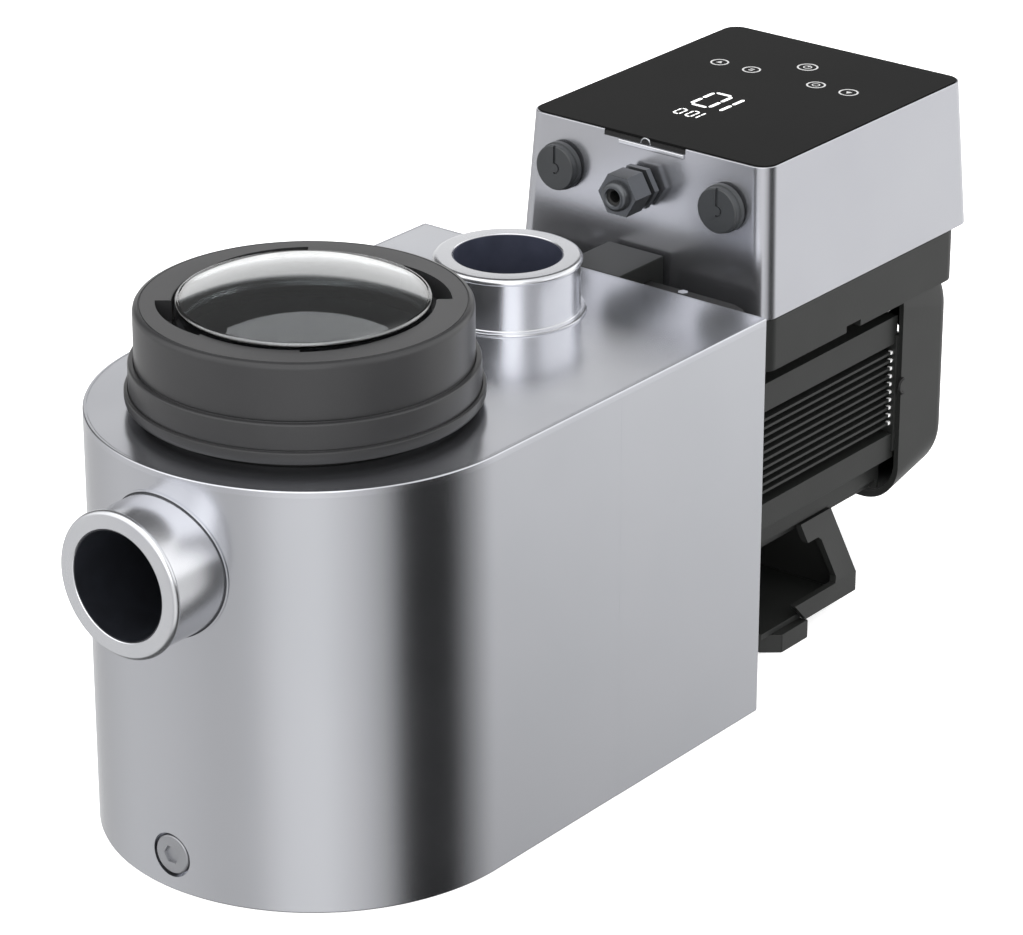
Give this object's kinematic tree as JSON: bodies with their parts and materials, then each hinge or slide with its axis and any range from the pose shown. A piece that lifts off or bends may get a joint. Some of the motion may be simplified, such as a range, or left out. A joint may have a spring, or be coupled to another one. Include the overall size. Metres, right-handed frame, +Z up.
{
  "type": "swimming-pool pump",
  "caption": "Inverter swimming-pool pump: metal strainer casing with clear screwed lid, suction and discharge sockets, finned motor, foot and touch-panel controller.",
  "frame": {"origin": "on the floor, under the axis of the casing's round front; not the bounding box's centre", "axes": "+Z up, -Y out of the suction socket, +Y back along the motor, +X to the right seen from the suction socket"},
  "size_m": [0.2504, 0.6714, 0.3246],
  "materials": {
    "satin_metal": "satin, finely brushed",
    "plug_metal": "dull turned",
    "bolt_steel": "plain",
    "black_paint": "matt black",
    "lid_plastic": "satin dark grey",
    "cap_plastic": "matt",
    "fan_plastic": "matt",
    "basket_plastic": "matt",
    "seal_rubber": "matt",
    "clear_plastic": "clear, polished",
    "panel_glass": "gloss black"
  },
  "bodies": {
    "pump": {"strainer_pot": "satin_metal", "pump_chamber": "satin_metal", "casing_top": "satin_metal", "suction_socket": "satin_metal", "suction_collar": "satin_metal", "discharge_socket": "satin_metal", "discharge_collar": "satin_metal", "drain_plug": "plug_metal", "lid_seat": "lid_plastic", "lid_seal": "seal_rubber", "strainer_basket": "basket_plastic", "motor_adapter": "black_paint", "adapter_bolt_left": "bolt_steel", "adapter_bolt_right": "bolt_steel", "front_end_shield": "black_paint", "motor_frame": "black_paint", "rear_end_shield": "black_paint", "motor_shaft": "bolt_steel", "cooling_fan": "fan_plastic", "fan_cowl": "black_paint", "foot_side_left": "black_paint", "foot_side_right": "black_paint", "foot_pad_left": "black_paint", "foot_pad_right": "black_paint", "foot_floor": "black_paint", "foot_web": "black_paint", "controller_base": "black_paint", "controller_cover": "satin_metal", "touch_panel": "panel_glass", "panel_catch": "bolt_steel", "blanking_cap_left": "cap_plastic", "blanking_cap_right": "cap_plastic", "gland_body": "cap_plastic", "gland_nut": "cap_plastic", "cable_duct": "black_paint"},
    "lid": {"lid_dome": "clear_plastic"},
    "ring": {"lock_ring": "lid_plastic"}
  },
  "joints": [
    {"name": "lid_lift", "type": "slide", "parent": "pump", "child": "lid", "axis": [0, 0, 1], "range_m": [0, 0.12]},
    {"name": "ring_turn", "type": "hinge", "parent": "lid", "child": "ring", "pos_m": [0, -0.0072, 0.3], "axis": [0, 0, 1], "range_deg": [0, 90]}
  ]
}
